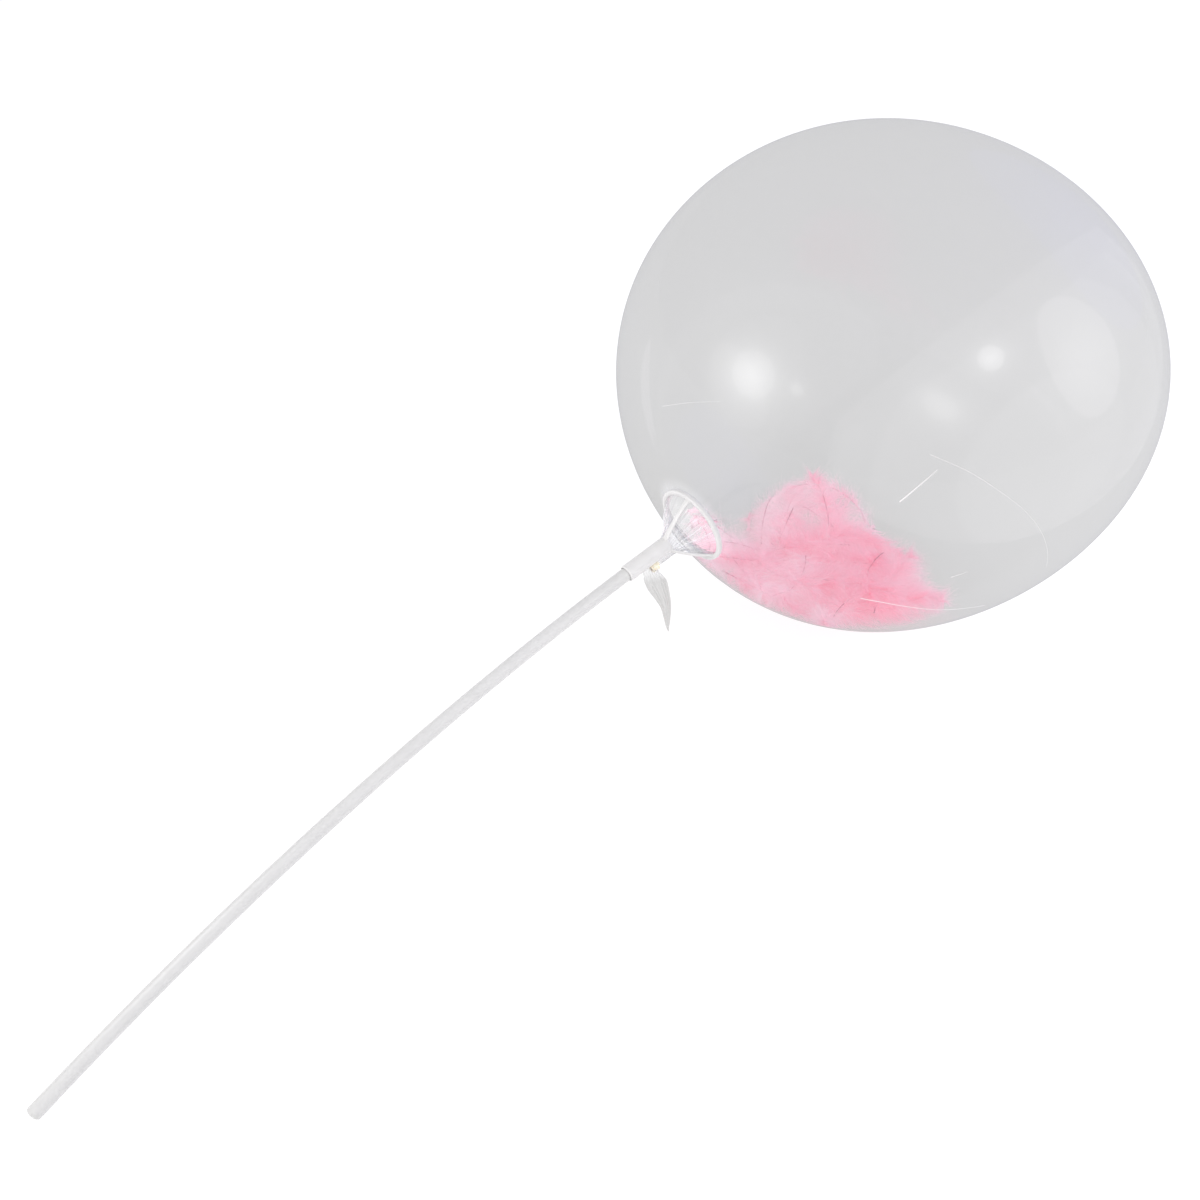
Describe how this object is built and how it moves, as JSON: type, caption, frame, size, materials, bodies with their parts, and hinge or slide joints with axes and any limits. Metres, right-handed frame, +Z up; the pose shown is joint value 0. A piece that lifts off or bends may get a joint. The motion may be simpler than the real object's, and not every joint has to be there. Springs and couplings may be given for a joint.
{
  "type": "clear bubble balloon on a stick",
  "caption": "Clear round bubble balloon held by an open three-armed cup on a long bent tube, lying on its side.",
  "frame": {"origin": "on the bulb's small flat resting spot, right below the bulb's middle, at floor level", "axes": "+X from the tube's loose end towards the bulb's crown, +Z up as the balloon lies"},
  "size_m": [1.251, 0.5659, 0.5119],
  "materials": {
    "film": "thin clear stretched film, glossy and see-through",
    "cup": "milky moulded plastic, satin",
    "tube": "milky extruded tube, soft gloss",
    "tie": "cream rubber band, dull"
  },
  "bodies": {
    "root": {"bubble": "film", "cup": "cup", "stick": "tube", "neck_tie": "tie"}
  },
  "joints": []
}
